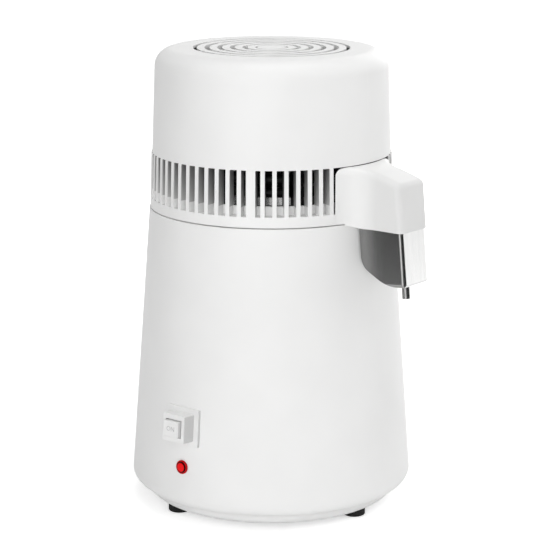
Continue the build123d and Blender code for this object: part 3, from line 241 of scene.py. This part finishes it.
finishes = {
    "white_shell": surface("moulded_white", (0.86, 0.86, 0.855), (0.88, 0.88, 0.875), (0.42, 0.52),
                           grain=0.0006, relief=0.00001, cloud=0.05, Specular_IOR_Level=0.3),
    "switch_plastic": surface("switch_white", (0.84, 0.84, 0.835), (0.87, 0.87, 0.865), (0.28, 0.38),
                              grain=0.0005, relief=0.000008, cloud=0.02),
    "red_lens": surface("red_lens", (0.86, 0.0, 0.003), (0.95, 0.002, 0.006), (0.1, 0.18),
                        grain=0.0008, relief=0.00001, cloud=0.004, Specular_IOR_Level=0.12),
    "lamp_glass": surface("lamp_glass", (0.9, 0.7, 0.6), (0.95, 0.8, 0.7), (0.02, 0.08),
                          grain=0.002, relief=0.00001, cloud=0.006, Transmission_Weight=0.8),
    "black_plastic": surface("black_plastic", (0.018, 0.018, 0.018), (0.03, 0.03, 0.03), (0.4, 0.55),
                             grain=0.0005, relief=0.00002, cloud=0.01),
    "foot_rubber": surface("foot_rubber", (0.008, 0.008, 0.008), (0.014, 0.014, 0.014), (0.65, 0.8),
                           grain=0.0007, relief=0.00003, cloud=0.008, Specular_IOR_Level=0.2),
    "stainless": surface("brushed_steel", (0.76, 0.76, 0.755), (0.8, 0.8, 0.795), (0.22, 0.28),
                         grain=0.0006, relief=0.000002, cloud=0.004, stretch=(1, 1, 0.02), Metallic=1.0),
    # Condenser coil and fins: near black all over, which keeps the inside of the head dark behind the
    # vents; the real finish of the coil is not known
    "coated_metal": surface("coated_metal", (0.008, 0.008, 0.008), (0.016, 0.016, 0.016), (0.35, 0.5),
                            grain=0.0006, relief=0.00001, cloud=0.006, Specular_IOR_Level=0.3),
    "silicone": surface("silicone", (0.68, 0.68, 0.66), (0.76, 0.76, 0.74), (0.45, 0.6),
                        grain=0.001, relief=0.00001, cloud=0.02),
    "aluminium": surface("aluminium", (0.6, 0.61, 0.62), (0.72, 0.73, 0.74), (0.28, 0.42),
                         grain=0.0008, relief=0.00001, cloud=0.01, stretch=(1, 1, 0.05), Metallic=1.0),
    "fan_plastic": surface("fan_plastic", (0.05, 0.05, 0.055), (0.07, 0.07, 0.075), (0.4, 0.5),
                           grain=0.0007, relief=0.00001, cloud=0.02),
    "zinc_steel": surface("zinc_steel", (0.5, 0.51, 0.5), (0.6, 0.61, 0.6), (0.25, 0.4),
                          grain=0.0006, relief=0.00001, cloud=0.004, Metallic=1.0),
    "bare_steel": surface("bare_steel", (0.3, 0.3, 0.31), (0.42, 0.42, 0.43), (0.3, 0.45),
                          grain=0.0006, relief=0.00001, cloud=0.006, stretch=(0.1, 0.1, 1), Metallic=1.0),
    "brass_contacts": surface("brass_contacts", (0.6, 0.46, 0.2), (0.7, 0.55, 0.26), (0.2, 0.35),
                              grain=0.0006, relief=0.00001, cloud=0.004, Metallic=1.0),
    "phenolic": surface("phenolic", (0.03, 0.022, 0.018), (0.05, 0.038, 0.03), (0.35, 0.5),
                        grain=0.0008, relief=0.00002, cloud=0.006),
    "winding_tape": surface("winding_tape", (0.55, 0.38, 0.06), (0.66, 0.48, 0.1), (0.25, 0.4),
                            grain=0.0015, relief=0.00004, cloud=0.008),
    "live_insulation": surface("live_insulation", (0.1, 0.035, 0.015), (0.14, 0.05, 0.02), (0.3, 0.4),
                               grain=0.001, relief=0.00001, cloud=0.01),
    "neutral_insulation": surface("neutral_insulation", (0.015, 0.05, 0.22), (0.02, 0.07, 0.28), (0.3, 0.4),
                                  grain=0.001, relief=0.00001, cloud=0.01),
}
letter_finish = surface("letter_grey", (0.58, 0.58, 0.58), (0.64, 0.64, 0.64), (0.4, 0.5),
                        grain=0.0005, relief=0.000008, cloud=0.004)


def scale_colour(tree, level):
    """Multiply the colour of a material by a level."""
    base = tree.nodes["Principled BSDF"].inputs["Base Color"]
    tint = tree.nodes.new("ShaderNodeVectorMath")
    tint.operation = "SCALE"
    feed(tree, tint.inputs[0], base.links[0].from_socket)
    feed(tree, tint.inputs["Scale"], level)
    feed(tree, base, tint.outputs["Vector"])


def scale_colour_where(tree, chosen, level):
    """Multiply the colour by a level where a choice is 1, and leave it where the choice is 0."""
    scale_colour(tree, map_range(tree, chosen, unit_span, (1.0, level)))


def paint_vent_shade(material):
    """Paint shade into a material between the heights of the vents, behind the outer face of the ring."""
    tree = material.node_tree
    parts = coordinate_parts(tree, "Object")
    reach = flat_length(tree, parts["X"], parts["Y"])
    upright_reach = math_result(tree, "MULTIPLY_ADD", parts["Z"], vent_draft, reach)
    edge = vent_foot_radius + vent_draft * vent_heights[0]
    shade = map_range(tree, parts["Z"], vent_heights, vent_painted_shades)
    level = map_range(tree, upright_reach, (edge - vent_edge, edge), (shade, 1.0))
    middle = sum(vent_heights) / 2
    near = math_result(tree, "COMPARE", parts["Z"], middle, vent_heights[1] - middle)
    scale_colour_where(tree, near, level)


def paint_hood_shade(material):
    """Paint a little shade on the spout hood, more and more from its root outwards."""
    tree = material.node_tree
    parts = coordinate_parts(tree, "Object")
    above = math_result(tree, "GREATER_THAN", parts["Z"], hood_foot)
    scale_colour_where(tree, above, map_range(tree, parts["X"], hood_reaches, (1.0, hood_painted_shade)))


def painted_side_shade(tree, axis, shade):
    """Painted shade of the faces that face along an axis, either way, and 1 on the other faces."""
    lean = math_result(tree, "ABSOLUTE", coordinate_parts(tree, "Normal")[axis])
    return map_range(tree, lean, painted_side_leans, (1.0, shade))


def paint_cup_shade(material):
    """Paint shade on the steel of the filter cup, most of all on its flat sides."""
    tree = material.node_tree
    beyond = math_result(tree, "GREATER_THAN", coordinate_parts(tree, "Object")["X"], cup_reach)
    level = math_result(tree, "MULTIPLY", painted_side_shade(tree, "Y", cup_side_painted_shade), cup_painted_shade)
    scale_colour_where(tree, beyond, level)


def paint_switch_shade(material):
    """Paint shade on the flanks of the switch and its button."""
    tree = material.node_tree
    scale_colour(tree, painted_side_shade(tree, "X", switch_side_painted_shade))


def paint_lens_shade(material):
    """Paint shade in the groove of the lens and on the outer part of its rim, by the distance from its
    axis.
    """
    tree = material.node_tree
    parts = coordinate_parts(tree, "Object")
    above_axis = math_result(tree, "SUBTRACT", parts["Z"], lens_height)
    reach = flat_length(tree, parts["X"], above_axis)
    share = map_range(tree, reach, (0.0, lens_reach), unit_span)
    stops = [(spot, (shade, shade, shade)) for spot, shade in lens_painted_shades]
    scale_colour(tree, colour_ramp(tree, share, stops))


def button_letters():
    """Shallow raised letters in the middle of the power button."""
    curve = bpy.data.curves.new("button_letters", "FONT")
    curve.body = letters
    curve.align_x = "CENTER"
    curve.align_y = "CENTER"
    curve.size = letter_height
    curve.extrude = letter_rise
    drawn = link(bpy.data.objects.new("drawn_letters", curve))
    mesh = bpy.data.meshes.new_from_object(drawn)
    bpy.data.objects.remove(drawn)
    out = Vector((0, -1, button_slope)).normalized()
    across = Vector((1, 0, 0))
    axes = Matrix((across, out.cross(across), out)).transposed().to_4x4()
    mesh.transform(Matrix.Translation(button_face) @ axes)
    mesh.materials.clear()
    mesh.materials.append(letter_finish)
    piece = link(bpy.data.objects.new("button_letters", mesh))
    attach(piece, "power_button")


def seen_rays(tree, *kinds):
    """1 for rays of some kinds, and 0 for the others."""
    path = tree.nodes.new("ShaderNodeLightPath")
    seen = path.outputs[kinds[0]]
    for kind in kinds[1:]:
        seen = math_result(tree, "MAXIMUM", seen, path.outputs[kind])
    return seen


def studio_floor():
    """Pale floor that shows white to the camera and keeps the shadow."""
    half = floor_radius
    corners = [(-half, -half, 0), (half, -half, 0), (half, half, 0), (-half, half, 0)]
    mesh = bpy.data.meshes.new("studio_floor")
    mesh.from_pydata(corners, [], [range(len(corners))])
    material, tree = new_material("studio_floor")
    shader = tree.nodes["Principled BSDF"]
    feed_named(tree, shader, {
        "Base_Color": floor_colour, "Roughness": floor_roughness, "Specular_IOR_Level": floor_shine,
    })
    reach = vector_length(tree, coordinate(tree, "Object"))
    glow = add_node(tree, "ShaderNodeEmission", Strength=map_range(tree, reach, floor_fade, floor_glows))
    dark = add_node(tree, "ShaderNodeEmission", Strength=0.0)
    pick = add_node(tree, "ShaderNodeMixShader", Fac=seen_rays(tree, "Is Camera Ray", "Is Glossy Ray"))
    feed(tree, pick.inputs[1], dark.outputs["Emission"])
    feed(tree, pick.inputs[2], glow.outputs["Emission"])
    both = tree.nodes.new("ShaderNodeAddShader")
    feed(tree, both.inputs[0], shader.outputs["BSDF"])
    feed(tree, both.inputs[1], pick.outputs["Shader"])
    feed(tree, tree.nodes["Material Output"].inputs["Surface"], both.outputs["Shader"])
    mesh.materials.append(material)
    floor = link(bpy.data.objects.new("studio_floor", mesh))


def studio_world():
    """White for the eye and for reflections, softer as a fill light."""
    world = bpy.data.worlds.new("studio_world")
    world.use_nodes = True
    tree = world.node_tree
    seen = seen_rays(tree, "Is Camera Ray", "Is Glossy Ray", "Is Transmission Ray")
    feed_named(tree, tree.nodes["Background"], {
        "Color": world_colour, "Strength": map_range(tree, seen, unit_span, world_levels),
    })
    bpy.context.scene.world = world


def front_turn(turn):
    """Level direction at an angle in degrees from the camera's side of the object, to its right."""
    around = camera_turn + math.radians(turn)
    return Vector((math.sin(around), -math.cos(around), 0))


def softbox(name, turn, rise, watts):
    """Square lamp round the object, aimed at its middle."""
    up = math.radians(rise)
    out = math.cos(up) * front_turn(turn) + Vector((0, 0, math.sin(up)))
    lamp = bpy.data.lights.new(name, "AREA")
    lamp.shape = "SQUARE"
    lamp.size = lamp_side
    lamp.energy = watts
    holder = link(bpy.data.objects.new(name, lamp))
    holder.location = Vector(lamp_aim) + lamp_distance * out
    holder.rotation_euler = (-out).to_track_quat("-Z", "Y").to_euler()
    holder.visible_camera = False


def card(name, first, last, level):
    """Curved card standing on the floor round the object, seen only in reflections."""
    steps = range(card_step_count)
    row = card_step_count + 1
    turns = [first + (last - first) * k / card_step_count for k in range(row)]
    foot = [card_radius * front_turn(turn) for turn in turns]
    top = [spot + Vector((0, 0, card_height)) for spot in foot]
    mesh = bpy.data.meshes.new(name)
    mesh.from_pydata(foot + top, [], [(k, k + 1, row + k + 1, row + k) for k in steps])
    material, tree = new_material(name)
    grey = add_node(tree, "ShaderNodeEmission", Strength=level)
    feed(tree, tree.nodes["Material Output"].inputs["Surface"], grey.outputs["Emission"])
    mesh.materials.append(material)
    board = link(bpy.data.objects.new(name, mesh))
    board.visible_camera = False
    board.visible_diffuse = False
    board.visible_shadow = False
    board.visible_transmission = False
    board.visible_volume_scatter = False


def photo_camera():
    """Camera at the photograph's place."""
    lens = bpy.data.cameras.new("photo_camera")
    lens.sensor_width = sensor_width
    lens.lens = sensor_width * focal_pixels / image_side
    camera = link(bpy.data.objects.new("photo_camera", lens))
    sine = math.sin(camera_turn)
    cosine = math.cos(camera_turn)
    camera.location = (camera_distance * sine, -camera_distance * cosine, camera_height)
    aim = Vector((aim_right * cosine, aim_right * sine, aim_height))
    look = (aim - camera.location).to_track_quat("-Z", "Y")
    camera.rotation_euler = (look @ Quaternion((0, 0, 1), camera_roll)).to_euler()
    bpy.context.scene.camera = camera


# Painted shade: in the vents, on the spout hood, on the filter cup, on the flanks of the switch and in the
# lens groove and rim
paint_vent_shade(finishes["white_shell"])
paint_hood_shade(finishes["white_shell"])
paint_cup_shade(finishes["stainless"])
paint_switch_shade(finishes["switch_plastic"])
paint_lens_shade(finishes["red_lens"])
for part in frame["record"]["subparts"]:
    mesh = nodes[part["node"]].data
    mesh.materials.clear()
    mesh.materials.append(finishes[part["material_slot"]])
button_letters()

studio_floor()
studio_world()
for box in softboxes:
    softbox(*box)
for board in cards:
    card(*board)
photo_camera()
bpy.context.scene.view_settings.view_transform = "Standard"
